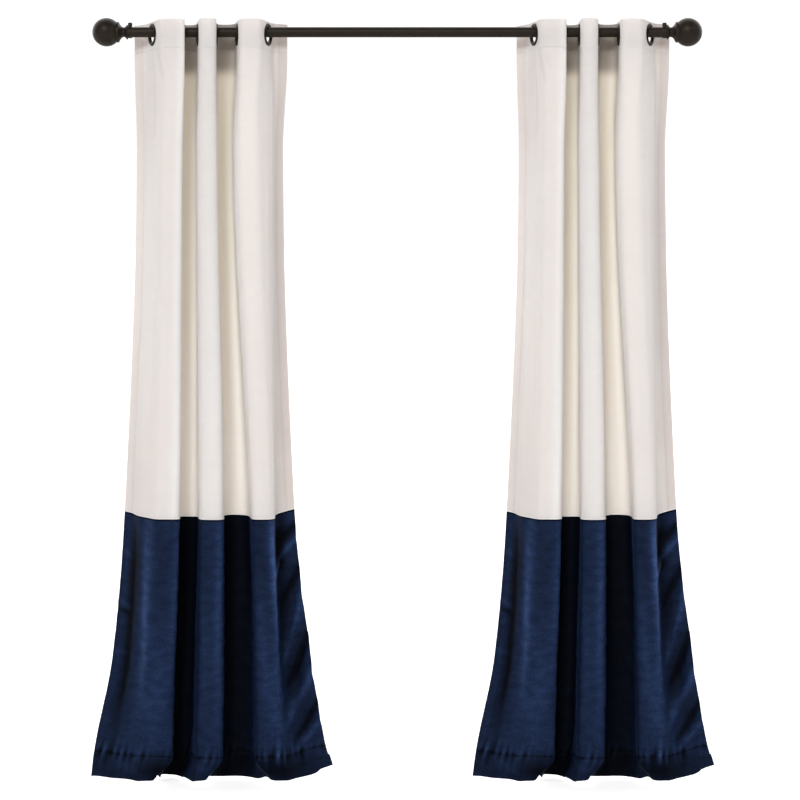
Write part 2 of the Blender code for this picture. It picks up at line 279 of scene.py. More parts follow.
def smooth_step(t):
    t = np.clip(t, 0, 1)
    return t * t * (3 - 2 * t)


def flat_half(down):
    return FLAT_HALF * (1 - smooth_step((down - LEVELS["rod"] * MM) / FLAT_FADES))


print("eyelet 2 at the seam:", eased(ACROSS["eyelet 2"], UPPER_END), "mm")

# %% The curve of one fold
CURVE_STEPS = 40
HANDLE = 0.55
RETURN_HANDLE = 0.45


def curve(start, out, end, into, pull=HANDLE):
    reach = pull * np.linalg.norm(end - start)
    t = np.linspace(0, 1, CURVE_STEPS + 1)[:, None]
    handles = (start, start + reach * out, end - reach * into, end)
    weights = ((1 - t) ** 3, 3 * t * (1 - t) ** 2, 3 * t * t * (1 - t), t**3)
    return sum(weight * handle for weight, handle in zip(weights, handles))


def run_of(points):
    steps = np.linalg.norm(np.diff(points, axis=0), axis=1)
    return np.concatenate([[0], np.cumsum(steps)])


def along(points, fractions):
    run = run_of(points)
    wanted = np.asarray(fractions) * run[-1]
    return np.stack([np.interp(wanted, run, points[:, i]) for i in (0, 1)], axis=1)


def solved(line_at, wanted, low, high):
    for _ in range(15):
        middle = (low + high) / 2
        if run_of(line_at(middle))[-1] < wanted:
            low = middle
        else:
            high = middle
    return line_at((low + high) / 2)


def crossing_way(thread, down, side):
    angle = radians(eased(CROSSING[thread], down))
    return np.array([cos(angle), side * sin(angle)])


def thread_at(thread, down):
    behind = eased(BEHIND[thread], down) if thread in BEHIND else 0
    return np.array([eased(ACROSS[thread], down), behind]) * MM


def fold_line(number, down):
    fold = FOLDS[number]
    left, right = f"eyelet {number + 1}", f"eyelet {number + 2}"
    out = crossing_way(left, down, fold.side)
    back = crossing_way(right, down, -fold.side)
    flat = flat_half(down)
    start, end = thread_at(left, down), thread_at(right, down)
    first, last = start + flat * out, end - flat * back
    share = np.interp(down, ALONG_CLOTH, fold.crown)
    crown_across = first[0] + share * (last[0] - first[0])
    level = np.array([1.0, 0.0])

    def line_at(depth):
        crown = np.array([crown_across, fold.side * depth])
        rise = curve(first, out, crown, level)
        fall = curve(crown, level, last, back)
        return np.vstack([start, rise, fall[1:], end])

    return solved(line_at, PITCH, 0.0, PITCH / 2)


print("ridge 1 is", round(-fold_line(0, UPPER_END)[:, 1].min() / MM), "mm deep at the seam")


# %% The return at each side edge
def return_line(side, down):
    thread, outward = ("eyelet 1", -1) if side == "left" else ("eyelet 6", 1)
    out = crossing_way(thread, down, 1) * (outward, 1)
    start = thread_at(thread, down)
    first = start + flat_half(down) * out
    across = eased(ACROSS[side + " edge"], down) * MM
    faces = radians(eased(EDGE_FACES[side + " edge"], down))
    level = np.array([outward * cos(faces), sin(faces)])

    def line_at(depth):
        end = np.array([across, start[1] + depth])
        return np.vstack([start, curve(first, out, end, level, RETURN_HANDLE)])

    return solved(line_at, SIDE_MARGIN, 0.0, SIDE_MARGIN)


def plan(down, places):
    """The plan of the whole cloth this far down, at these distances from its left edge."""
    found = np.zeros((len(places), 2))
    in_left = places < SIDE_MARGIN
    found[in_left] = along(return_line("left", down), 1 - places[in_left] / SIDE_MARGIN)
    for number in range(FOLD_COUNT):
        start = SIDE_MARGIN + number * PITCH
        inside = (places >= start) & (places < start + PITCH)
        found[inside] = along(fold_line(number, down), (places[inside] - start) / PITCH)
    in_right = places >= CLOTH_WIDTH - SIDE_MARGIN
    from_thread = places[in_right] - (CLOTH_WIDTH - SIDE_MARGIN)
    found[in_right] = along(return_line("right", down), from_thread / SIDE_MARGIN)
    return found


def sags(down, places):
    """How far each place hangs below its eyelets' line, this far down the cloth."""
    found = np.zeros(len(places))
    for number, fold in enumerate(FOLDS):
        crown = SIDE_MARGIN + PITCH * (number + 0.5)
        share = np.clip(np.abs(places - crown) / PITCH, 0, 0.5)
        found += np.interp(down, ALONG_CLOTH, fold.sag) * np.cos(pi * share) ** 2
    for side, from_edge in (("left", places), ("right", CLOTH_WIDTH - places)):
        share = np.clip(1 - from_edge / EDGE_REACH, 0, 1)
        found += np.interp(down, ALONG_CLOTH, EDGE_SAGS[side]) * share**2
    return found * MM


print("return depth at the rod:", round(return_line("left", 0.087)[-1, 1] / MM), "mm")

# %% [markdown]
# From plans to a hanging cloth
# A thread that swings sideways between two levels drops a little less, so each thread's height is
# summed down from the heading. Where the folds change from one level to the next, the heights come
# out uneven by themselves, as they do on real curtains.

# %% Hang a grid of the flat cloth
def hang(places, downs):
    """Each thread's (across, behind, height) at each distance down, before the fan."""
    before, before_down, fallen, found = plan(0.0, places), 0.0, np.zeros(len(places)), []
    for down in downs:
        now = plan(down, places)
        run = (down - before_down) ** 2 - ((now - before) ** 2).sum(axis=1)
        fallen = fallen + np.sqrt(np.maximum(run, 0))
        height = HEADING_TOP - fallen - sags(down, places)
        found.append(np.column_stack([now, height]))
        before, before_down = now, down
    return np.array(found)


def fanned(points, middle):
    """The same grid at a curtain's place on the rod, its folds fanned out from the rod's middle."""
    across, behind, height = points[..., 0], points[..., 1], points[..., 2]
    fan = 1 + FAN_BACK * behind - FAN_DOWN * height
    return np.stack([(middle + across) * fan, behind, height], axis=-1)


def outward(points):
    """Unit directions out of the cloth's right side, which faces the room."""
    down = np.gradient(points, axis=0)
    across = np.gradient(points, axis=1)
    normal = np.cross(down, across)
    return normal / np.linalg.norm(normal, axis=-1, keepdims=True)


def even_places(start, end, step, extra=()):
    """Places about a step apart, with the extra ones put in and close neighbours left out."""
    even = np.linspace(start, end, max(2, round((end - start) / step) + 1))
    extra = np.array([place for place in extra if start < place < end])
    if len(extra):
        clear = np.abs(even[:, None] - extra[None, :]).min(axis=1) > 0.45 * step
        clear[[0, -1]] = True
        even = np.concatenate([even[clear], extra])
    return np.unique(np.round(even, 6))


SIDE_HEM = 0.024
THREAD_STEP = 0.0051
BESIDE_STITCHES = (-0.0035, -0.0018, 0, 0.0018, 0.0035)
left_lines = [SIDE_HEM + offset for offset in BESIDE_STITCHES]
right_lines = [CLOTH_WIDTH - line for line in left_lines]
THREADS = even_places(0, CLOTH_WIDTH, THREAD_STEP, left_lines + right_lines)
print("threads across:", len(THREADS))

# %% [markdown]
# Hems and stitched lines
# A hem is the cloth turned over twice, so it's thicker, and its line of stitches pulls a narrow
# groove with small puckers beside it. The thickness and the groove are worked out on the flat
# cloth, then laid on the hanging one. The bottom hem curls a little to the back.

# %% The relief of the hems
BOTTOM_HEM = 0.072
HEM_LINE = CLOTH_LENGTH - BOTTOM_HEM
HEM_CURL = 0.010
LIP = 0.0035
LIP_HEIGHT = 0.0009
UNDER_LIP = 0.0012
Stitches = namedtuple("Stitches", "width depth pitch reach height")
BOTTOM_STITCHES = Stitches(0.0030, 0.0022, 0.026, 0.020, 0.0058)
SIDE_STITCHES = Stitches(0.0022, 0.0008, 0.020, 0.010, 0.0012)
HEADING_GROOVE = (0.0022, 0.0004)
BOTTOM_SEED = 21
SIDE_SEEDS = (11, 12)


def line_at_stitches(away, width):
    """1 on a line, falling to 0 about two widths away from it."""
    return np.exp(-((away / width) ** 2))


def groove(away, width, depth):
    return -depth * line_at_stitches(away, width)


def puckers(run, away, line, seed):
    """Small uneven ridges square to a line of stitches, dying out away from it."""
    source = np.random.default_rng(seed)
    wave = np.zeros_like(run)
    for share in (0.72, 1.0, 1.31, 1.9):
        phase, part = source.uniform(0, 2 * pi), source.uniform(0.5, 1.0)
        drift = source.uniform(-0.25, 0.25)
        wave += part * np.sin(2 * pi * (run + drift * away) / (line.pitch * share) + phase)
    uneven = 0.6 + 0.4 * np.sin(2 * pi * run / (line.pitch * 9.7) + source.uniform(0, 2 * pi))
    return line.height * wave / 2 * uneven * np.exp(-np.abs(away) / line.reach)


def stitched(relief, run, away, line, seed):
    """The relief with one more stitched line, its groove and its puckers."""
    return relief + groove(away, line.width, line.depth) + puckers(run, away, line, seed)


def bottom_puckers(down, across):
    return stitched(np.zeros_like(down), across, down - HEM_LINE, BOTTOM_STITCHES, BOTTOM_SEED)


def hem_relief(down, across):
    found = bottom_puckers(down, across)
    for edge, seed in zip((across, CLOTH_WIDTH - across), SIDE_SEEDS):
        found = stitched(found, down, edge - SIDE_HEM, SIDE_STITCHES, seed)
    found += groove(down - HEADING_DEPTH, *HEADING_GROOVE)
    found -= HEM_CURL * smooth_step((down - HEM_LINE) / BOTTOM_HEM)
    lip = np.where(down <= UPPER_END, smooth_step((down - UPPER_END + 2 * LIP) / LIP), 0)
    below = np.where(down > UPPER_END, 1 - smooth_step((down - UPPER_END) / (2 * LIP)), 0)
    return found + LIP_HEIGHT * lip - UNDER_LIP * below


print("side hem:", SIDE_HEM, "bottom hem:", BOTTOM_HEM)

# %% [markdown]
# Creases
# The main creases are placed one by one, as soft troughs and ridges on the flat cloth: a few fine
# ones where the heading pulls at the outer eyelets, and a deep trough beside the right edge of the
# navy length, with drag wrinkles across it. Each is a row of a table, in millimetres of flat cloth.

# %% The creases
Crease = namedtuple("Crease", "across down to_across to_down width height bow")
CREASES = {
    "at the first eyelet": [
        Crease(92, 84, 100, 340, 8, -2.2, 3),
        Crease(116, 66, 142, 190, 7, -2.8, 4),
        Crease(134, 78, 160, 150, 7, -1.6, 2),
    ],
    "at the sixth eyelet": [
        Crease(893, 92, 897, 960, 9, -2.0, -3),
        Crease(930, 84, 914, 330, 8, -1.8, 2),
    ],
    "navy, trough and kinks by the left edge": [
        Crease(50, 1400, 48, 2010, 13, -6.0, 4),
        Crease(-8, 1500, 60, 1512, 7, 3.5, 0),
        Crease(-8, 1640, 62, 1654, 8, 5.0, 0),
        Crease(-8, 1664, 70, 1676, 8, -4.0, 0),
        Crease(-8, 1790, 60, 1776, 8, 3.0, 0),
    ],
    "navy, shoulder of the first ridge": [Crease(104, 1410, 124, 1960, 15, 2.4, 0)],
    "navy, trough and drag wrinkles by the right edge": [
        Crease(916, 1425, 912, 1560, 16, -9.0, -4),
        Crease(995, 1414, 846, 1512, 11, -6.0, 4),
        Crease(1000, 1444, 838, 1560, 9, 9.5, 5),
        Crease(990, 1510, 888, 1668, 11, -5.0, 4),
        Crease(985, 1566, 876, 1832, 12, 9.5, 6),
        Crease(990, 1686, 880, 1906, 11, -6.0, 5),
        Crease(1002, 1800, 846, 2000, 13, 9.5, 6),
        Crease(995, 1900, 876, 2044, 10, -5.0, 4),
        Crease(1000, 1962, 874, 2066, 9, 5.0, 3),
    ],
    "navy, smears on the second and third ridges": [
        Crease(452, 1480, 470, 1900, 14, 1.6, 3),
        Crease(786, 1500, 800, 1980, 14, 1.8, -3),
    ],
}


def crease_relief(down, across):
    found = np.zeros_like(down)
    for crease in sum(CREASES.values(), []):
        right, under = across - crease.across * MM, down - crease.down * MM
        run = np.array([crease.to_across - crease.across, crease.to_down - crease.down]) * MM
        size = np.linalg.norm(run)
        share = (right * run[0] + under * run[1]) / size**2
        bend = np.clip(4 * share * (1 - share), 0, 1)
        aside = (right * run[1] - under * run[0]) / size - crease.bow * MM * bend
        found += crease.height * MM * np.exp(-((aside / (crease.width * MM)) ** 2)) * bend
    return found


print("creases:", {place: len(creases) for place, creases in CREASES.items()})

# %% Small unevenness
Ripple = namedtuple("Ripple", "across down height")
RIPPLES = {
    "ivory": [Ripple(0.047, 2.1, 0.7), Ripple(0.083, -3.4, 0.9), Ripple(0.031, 1.3, 0.4)],
    "navy": [
        Ripple(0.041, 0.55, 0.6),
        Ripple(0.088, -0.9, 1.0),
        Ripple(0.150, 0.17, 0.6),
        Ripple(-0.062, 0.083, 0.5),
        Ripple(0.235, 0.058, 0.45),
    ],
}


def ripples(down, across, colour):
    """Long shallow waves, so that no part is dead straight. They die out at the joins."""
    source = np.random.default_rng(31)
    found = np.zeros_like(down)
    for ripple in RIPPLES[colour]:
        phase = source.uniform(0, 2 * pi, 2)
        wave = np.sin(2 * pi * (across / ripple.across + down / ripple.down) + phase[0])
        found += ripple.height * MM * wave * (0.6 + 0.4 * np.sin(2 * pi * down / 0.9 + phase[1]))
    return found * smooth_step((down - 0.08) / 0.15) * smooth_step(abs(down - UPPER_END) / 0.05)


print("ripples:", {name: len(rows) for name, rows in RIPPLES.items()})

# %% How thick the cloth is
CLOTH_THICKNESS = 0.0016
HEM_THICKNESS = 0.0022
HEADING_THICKNESS = 0.0019
TUCK_THICKNESS = 0.0007
HEM_STEP = 0.0018


def from_side(across):
    return np.minimum(across, CLOTH_WIDTH - across)


def thickness(down, across, first):
    """The first rows of a length are its seam allowance, thinner and behind its neighbour."""
    hem = smooth_step((SIDE_HEM + HEM_STEP - from_side(across)) / HEM_STEP)
    hem = np.maximum(hem, smooth_step((down - HEM_LINE + HEM_STEP) / HEM_STEP))
    plain = HEADING_THICKNESS if first == 0 else CLOTH_THICKNESS
    found = plain + (HEM_THICKNESS - plain) * hem
    return np.where((down < first) & (first > 0), TUCK_THICKNESS, found)


print("thickest:", thickness(np.array([0.0, 1.0, 2.1]), np.array([0.0, 0.5, 0.5]), 0).max())

# %% [markdown]
# A sheet with two faces
# A cloth seen from the room, from behind and along its edge needs a face on each side and a rim
# round it. The grid is laid twice, half a thickness out and in, and joined round the border. Each
# point keeps its place on the flat cloth as a UV map, which the materials follow, and two numbers
# painted into the colour: painted highlights and painted shade with the darker side stitch lines,
# and painted warm bounce light. The back has its own material, because velvet has no pile there.


# %% Make a sheet from a grid
def sheet_faces(rows, columns):
    """The faces of the front, as many of the back, and the rim that joins their borders."""
    size = rows * columns
    grid = np.arange(size).reshape(rows, columns)
    front = np.stack([grid[:-1, :-1], grid[1:, :-1], grid[1:, 1:], grid[:-1, 1:]], axis=-1)
    front = front.reshape(-1, 4)
    here = np.concatenate([grid[0], grid[1:, -1], grid[-1, -2::-1], grid[-2:0:-1, 0]])
    there = np.roll(here, -1)
    rim = np.column_stack([here, there, there + size, here + size])
    return front, front[:, ::-1] + size, rim


def sheet_piece(name, front, back, downs, places, looks, finishes):
    points = np.concatenate([front.reshape(-1, 3), back.reshape(-1, 3)])
    faces = sheet_faces(*front.shape[:2])
    mesh = bpy.data.meshes.new(name)
    mesh.from_pydata(points.tolist(), [], np.concatenate(faces).tolist())
    down, across = np.meshgrid(downs, places, indexing="ij")
    flat = np.column_stack([across.ravel(), -down.ravel()])
    flat = np.concatenate([flat, flat])
    corner_points = np.zeros(len(mesh.loops), dtype=np.int32)
    mesh.loops.foreach_get("vertex_index", corner_points)
    layer = mesh.uv_layers.new(name="flat cloth")
    layer.data.foreach_set("uv", flat[corner_points].ravel())
    for look, values in looks.items():
        kept = mesh.attributes.new(look, "FLOAT", "POINT")
        kept.data.foreach_set("value", np.concatenate([values.ravel(), values.ravel()]))
    for finish in finishes:
        mesh.materials.append(finish)
    slots = np.repeat(np.array([0, 1, 0], dtype=np.int32), [len(part) for part in faces])
    mesh.polygons.foreach_set("material_index", slots)
    mesh.shade_smooth()
    mesh.set_sharp_from_angle(angle=radians(50))
    return add_object(name, mesh)


# %% [markdown]
# Velvet
# Velvet is a short cut pile on a woven back. The pile stands up, so it looks dark where it's seen
# end on and lights up where it's seen from the side, which the sheen of the Principled shader does.
# Hands and hanging brush it into patches that lean different ways, in broad smears that run across
# the cloth and finer ones inside them. The patches and the fine grain are groups, because both
# colours use them. First come short forms of the nodes that every material needs.

# %% Nodes that the materials need again and again
MIX_SOCKETS = {"FLOAT": (2, 3, 0), "RGBA": (6, 7, 2)}


def surface(tree, colour, roughness, gloss, normal, more):
    inputs = {"Base Color": colour, "Roughness": roughness, "Specular IOR Level": gloss}
    shader = add_node(tree, "BsdfPrincipled", {**inputs, "Normal": normal, **more})
    add_node(tree, "OutputMaterial", {"Surface": shader.outputs[0]})


def noise(tree, vector, scale, detail, roughness=0.5):
    inputs = {"Vector": vector, "Scale": scale, "Detail": detail, "Roughness": roughness}
    return add_node(tree, "TexNoise", inputs).outputs[0]


def maths(tree, operation, first, second, **settings):
    inputs = {0: first, 1: second}
    return add_node(tree, "Math", inputs, operation=operation, **settings).outputs[0]


def blend(tree, share, first, second, kind="RGBA"):
    """The blend of two colours, or of two numbers where the kind is FLOAT."""
    one, other, result = MIX_SOCKETS[kind]
    inputs = {0: share, one: first, other: second}
    return add_node(tree, "Mix", inputs, data_type=kind).outputs[result]


def bump(tree, height, strength, distance):
    inputs = {"Height": height, "Strength": strength, "Distance": distance}
    return add_node(tree, "Bump", inputs).outputs[0]


print("inputs and output of a mix:", MIX_SOCKETS)


# %% Groups that the velvets share
def new_group(name, inputs, output):
    """A group that makes one number, with its entry and exit nodes."""
    group = bpy.data.node_groups.new(name, "ShaderNodeTree")
    for socket, value in inputs.items():
        made = group.interface.new_socket(socket, in_out="INPUT", socket_type="NodeSocketFloat")
        made.default_value = value
    group.interface.new_socket(output, in_out="OUTPUT", socket_type="NodeSocketFloat")
    return group, group.nodes.new("NodeGroupInput"), group.nodes.new("NodeGroupOutput")


def brushed_patches_group():
    """A soft mask of patches where the pile leans, wider than they are high."""
    settings = {"Patch size": 0.05, "Stretch": 0.5, "Contrast": 1.0}
    group, entry, leave = new_group("brushed patches", settings, "Mask")
    flat = add_node(group, "UVMap", uv_map="flat cloth")
    parts = add_node(group, "SeparateXYZ", {0: flat.outputs[0]})
    across = maths(group, "MULTIPLY", parts.outputs[0], entry.outputs["Stretch"])
    joined = add_node(group, "CombineXYZ", {0: across, 1: parts.outputs[1]}).outputs[0]
    scale = maths(group, "DIVIDE", 1.0, entry.outputs["Patch size"])
    broad = noise(group, joined, scale, 3.0, 0.6)
    fine = noise(group, joined, maths(group, "MULTIPLY", scale, 7.3), 2.0)
    both = blend(group, 0.45, broad, fine, "FLOAT")
    spread = ranged(group, both, 0.34, 0.66, interpolation_type="SMOOTHSTEP")
    centred = maths(group, "SUBTRACT", spread, 0.5)
    scaled = maths(group, "MULTIPLY", centred, entry.outputs["Contrast"])
    mask = maths(group, "ADD", scaled, 0.5, use_clamp=True)
    group.links.new(mask, leave.inputs["Mask"])
    return group


def pile_grain_group():
    """The height of the pile's tips, from single tufts up to small hollows."""
    settings = {"Tuft size": 0.0012, "Hollow size": 0.012, "Hollow share": 0.5}
    group, entry, leave = new_group("pile grain", settings, "Height")
    place = add_node(group, "TexCoord").outputs["Object"]
    fine, broad = (
        noise(group, place, maths(group, "DIVIDE", 1.0, entry.outputs[size]), 2.0)
        for size in ("Tuft size", "Hollow size")
    )
    height = blend(group, entry.outputs["Hollow share"], fine, broad, "FLOAT")
    group.links.new(height, leave.inputs["Height"])
    return group


BRUSHED_PATCHES = brushed_patches_group()
PILE_GRAIN = pile_grain_group()
print("groups:", [group.name for group in bpy.data.node_groups])


# %% A group for the woven back
def plain_weave_group():
    """The height of a plain weave: uneven threads across, crossed by uneven threads down."""
    group, entry, leave = new_group("plain weave", {"Thread": 0.0009}, "Height")
    flat = add_node(group, "UVMap", uv_map="flat cloth").outputs[0]
    scale = maths(group, "DIVIDE", 1.0, entry.outputs["Thread"])
    heights = []
    for stretch in ((1.0, 0.06, 1.0), (0.06, 1.0, 1.0)):
        placed = add_node(group, "VectorMath", {0: flat, 1: stretch}, operation="MULTIPLY")
        heights.append(noise(group, placed.outputs[0], scale, 1.0))
    height = maths(group, "ADD", *heights)
    group.links.new(height, leave.inputs["Height"])
    return group


PLAIN_WEAVE = plain_weave_group()
print("woven back:", PLAIN_WEAVE.name)

# %% The two velvets
def shines_through(share):
    """Settings for light that passes through this share of the cloth."""
    radius = (1.0, 0.97, 0.94)
    return {"Subsurface Weight": share, "Subsurface Radius": radius, "Subsurface Scale": 0.004}


def velvet(name, colours, patches, sheen, roughness, gloss, grain, through):
    """The colours are dark, light and warm, the warm one painted bounce light; patches: size,
    contrast.
    """
    made, tree = new_material(name)
    dark, light, bounce_warm = ((*colour, 1) for colour in colours)
    settings = dict(zip(("Patch size", "Contrast"), patches))
    # Here only the brushed patches of the pile, which are its own uneven colour.
    brushed_and_painted_light = add_node(tree, "Group", settings, node_tree=BRUSHED_PATCHES).outputs["Mask"]
    # Painted warm bounce light: the colour is blended towards the warm one in the valleys.
    painted_bounce_warmth = add_node(tree, "Attribute", attribute_name="painted_bounce_warmth").outputs["Fac"]
    colour = blend(tree, painted_bounce_warmth, blend(tree, brushed_and_painted_light, dark, light), bounce_warm)
    # The colour is scaled by each point's painted light and shade, and by the darker side stitch
    # lines.
    stitches_and_painted_light = add_node(tree, "Attribute", attribute_name="stitches_and_painted_light").outputs["Fac"]
    colour_with_painted_light = add_node(tree, "VectorMath", {0: colour, "Scale": stitches_and_painted_light}, operation="SCALE")
    pile = add_node(tree, "Group", node_tree=PILE_GRAIN).outputs["Height"]
    tips = bump(tree, pile, 0.5, grain)
    surface(tree, colour_with_painted_light.outputs[0], roughness, gloss, tips, {**shines_through(through), **sheen})
    return made


IVORY = velvet(
    "ivory velvet",
    colours=[(0.80, 0.752, 0.732), (0.835, 0.79, 0.772), (0.78, 0.725, 0.61)],
    patches=(0.12, 0.5),
    sheen={"Sheen Weight": 0.1, "Sheen Roughness": 0.35, "Sheen Tint": (1, 0.98, 0.97, 1)},
    roughness=0.9,
    gloss=0.1,
    grain=0.0005,
    through=1.0,
)
NAVY = velvet(
    "navy velvet",
    colours=[(0.0072, 0.0150, 0.0430), (0.0160, 0.0315, 0.0840), (0.0072, 0.0150, 0.0430)],
    patches=(0.020, 0.9),
    sheen={"Sheen Weight": 0.07, "Sheen Roughness": 0.30, "Sheen Tint": (0.17, 0.33, 0.78, 1)},
    roughness=0.6,
    gloss=0.05,
    grain=0.0006,
    through=0.0,
)
print("velvets:", IVORY.name, "and", NAVY.name)


# %% The back of each velvet
def woven_back(name, dark, light, through):
    made, tree = new_material(name)
    weave = add_node(tree, "Group", node_tree=PLAIN_WEAVE).outputs["Height"]
    colour = blend(tree, weave, (*dark, 1), (*light, 1))
    surface(tree, colour, 0.85, 0.2, bump(tree, weave, 0.4, 0.0003), shines_through(through))
    return made


IVORY_BACK = woven_back("ivory back", (0.74, 0.70, 0.66), (0.80, 0.76, 0.73), 1.0)
NAVY_BACK = woven_back("navy back", (0.007, 0.014, 0.036), (0.014, 0.026, 0.060), 0.0)
print("backs:", IVORY_BACK.name, "and", NAVY_BACK.name)

# %% [markdown]
# Dark bronze
# The rod, the finials and the eyelets are steel with a baked dark bronze coat: almost black, a
# little warm, with a soft broad gloss. The coat is a shade lighter on crisp edges, where hands and
# the sliding eyelets rub it, which the Pointiness of the surface finds.


# %% The bronze coat
BRONZE_COLOURS = [(0.0120, 0.0088, 0.0066), (0.0220, 0.0166, 0.0128)]
WORN_BRONZE = (0.050, 0.041, 0.033, 1)
BRONZE_GLOSS = 0.26


def bronze(name, shade):
    """The coat, with its colour and gloss scaled by the shade."""
    made, tree = new_material(name)
    place = add_node(tree, "TexCoord").outputs["Object"]
    speckle = noise(tree, place, 900.0, 3.0)
    cloud = noise(tree, place, 28.0, 3.0)
    dark, light = ((shade * r, shade * g, shade * b, 1) for r, g, b in BRONZE_COLOURS)
    form = add_node(tree, "NewGeometry")
    edges = ranged(tree, form.outputs["Pointiness"], 0.53, 0.60, 0.0, shade)
    colour = blend(tree, edges, blend(tree, cloud, dark, light), WORN_BRONZE)
    roughness = ranged(tree, cloud, 0.0, 1.0, 0.38, 0.52)
    grain = bump(tree, speckle, 0.25, 0.0002)
    tint = {"Specular Tint": (1.0, 0.86, 0.72, 1)}
    surface(tree, colour, roughness, BRONZE_GLOSS * shade, grain, tint)
    return made


BRONZE = bronze("dark bronze", 1.0)
# The eyelets take a copy of the coat at 0.6, darker and with less gloss.
EYELET_BRONZE = bronze("eyelet bronze", 0.6)
print("metals:", BRONZE.name, "and", EYELET_BRONZE.name)

# %% [markdown]
# Turned pieces
# The rod, the finials, their screws and the eyelets are all round, so one function turns an outline
# about an axis. It spins the outline in fine steps and leaves crisp only the edges that the lathe
# or the press would leave crisp.


# %% Turn an outline
def turned(name, outline, sides, closed=False, finish=BRONZE):
    """A piece turned about Z from (radius, height) points. A closed outline makes a ring."""
    shape = bmesh.new()
    points = [shape.verts.new((radius, 0, height)) for radius, height in outline]
    pairs = list(zip(points, points[1:]))
    if closed:
        pairs.append((points[-1], points[0]))
    edges = [shape.edges.new(pair) for pair in pairs]
    bmesh.ops.spin(
        shape,
        geom=points + edges,
        cent=(0, 0, 0),
        axis=(0, 0, 1),
        angle=2 * pi,
        steps=sides,
        use_merge=True,
    )
    bmesh.ops.remove_doubles(shape, verts=shape.verts, dist=0.00001)
    bmesh.ops.recalc_face_normals(shape, faces=shape.faces)
    mesh = bpy.data.meshes.new(name)
    shape.to_mesh(mesh)
    shape.free()
    mesh.shade_smooth()
    mesh.set_sharp_from_angle(angle=radians(35))
    mesh.materials.append(finish)
    return mesh


def metal_piece(name, mesh, node, matrix):
    """The mesh put in its place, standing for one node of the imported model."""
    placed = mesh.copy()
    placed.name = name
    placed.transform(matrix)
    made = add_object(name, placed)
    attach(made, "root")
    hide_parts(node)
    return made


def round_corner(corner, before, after, radius, steps=4):
    """Points on a small arc in place of a corner of an outline."""
    corner, before, after = (np.array(point, float) for point in (corner, before, after))
    start = corner + (before - corner) / np.linalg.norm(before - corner) * radius
    end = corner + (after - corner) / np.linalg.norm(after - corner) * radius
    t = np.linspace(0, 1, steps + 1)[:, None]
    return [tuple(p) for p in (1 - t) ** 2 * start + 2 * t * (1 - t) * corner + t * t * end]


# %% The rod
ROD_DIAMETER = 0.0286
ROD_LENGTH = 1.500
ROD_SIDES = 64
ROD_BANDS = 61
ROD_CHAMFER = 0.0008


def rod_outline():
    half, radius = ROD_LENGTH / 2, ROD_DIAMETER / 2
    bands = np.linspace(-half + ROD_CHAMFER, half - ROD_CHAMFER, ROD_BANDS)
    first = [(0, -half), (radius - ROD_CHAMFER, -half)]
    return first + [(radius, band) for band in bands] + [(radius - ROD_CHAMFER, half), (0, half)]


rod_mesh = turned("rod", rod_outline(), ROD_SIDES)
metal_piece("curtain_rod", rod_mesh, "rod", Matrix.Rotation(pi / 2, 4, "Y"))
print("rod:", ROD_LENGTH, "m long")

# %% [markdown]
# Finials
# Each finial is cast and turned: a sleeve over the rod's end, a bead, a thin neck, a cove that
# spreads to a collar, and a ball. The sections are measured from its mouth. Curves between them are
# eased, so the cove and the flare look turned and not cut from cones.

# %% The finial's sections
FIT_GAP = 0.0003
SOCKET_DEPTH = 0.010
BALL_DIAMETER = 0.079
BALL_CENTRE = 0.0717
BALL_STEPS = 32
FINIAL_SIDES = 72
Section = namedtuple("Section", "out diameter")
FINIAL_SECTIONS = {
    "mouth": Section(0.0, 31.8),
    "sleeve": Section(0.8, 33.4),
    "sleeve end": Section(12.3, 33.4),
    "bead foot": Section(12.3, 38.0),
    "bead": Section(13.2, 40.6),
    "bead end": Section(14.6, 40.6),
    "flare": Section(18.0, 32.8),
    "neck": Section(21.5, 27.4),
    "neck end": Section(24.0, 27.0),
    "cove": Section(28.0, 30.0),
    "cove end": Section(32.2, 38.6),
    "collar foot": Section(36.3, 53.0),
    "collar": Section(37.5, 57.4),
    "collar end": Section(43.0, 57.4),
    "ball foot": Section(44.2, 56.2),
}
ROUNDED = {"sleeve": 0.6, "bead": 0.9, "collar": 1.0, "collar end": 1.0}


def section_point(name):
    section = FINIAL_SECTIONS[name]
    return (section.diameter / 2 * MM, section.out * MM)


def eased_run(first, last, steps=28):
    """A smooth line through every section from the first to the last."""
    names = list(FINIAL_SECTIONS)
    chosen = [section_point(name) for name in names[names.index(first) : names.index(last) + 1]]
    widths, outs = np.array(chosen).T
    slopes = np.gradient(widths, outs)
    places = np.linspace(outs[0], outs[-1], steps + 1)
    return [(smooth_line(outs, widths, slopes, out), out) for out in places]


print("finial sections:", len(FINIAL_SECTIONS))


# %% The finial's outline, and both finials
def finial_outline():
    names = list(FINIAL_SECTIONS)
    socket = ROD_DIAMETER / 2 + FIT_GAP
    bottom = SOCKET_DEPTH + FIT_GAP
    found = [(0, bottom), (socket, bottom), (socket, 0)]

    def pass_through(*sections):
        for name in sections:
            if name in ROUNDED:
                after = section_point(names[names.index(name) + 1])
                found.extend(
                    round_corner(section_point(name), found[-1], after, ROUNDED[name] * MM)
                )
            else:
                found.append(section_point(name))

    pass_through("mouth", "sleeve", "sleeve end", "bead foot", "bead")
    found.extend(eased_run("bead end", "collar foot"))
    pass_through("collar", "collar end", "ball foot")
    ball = BALL_DIAMETER / 2
    first = pi - asin(found[-1][0] / ball)
    for step in range(1, BALL_STEPS + 1):
        angle = first * (1 - step / BALL_STEPS)
        found.append((ball * sin(angle), BALL_CENTRE + ball * cos(angle)))
    return found


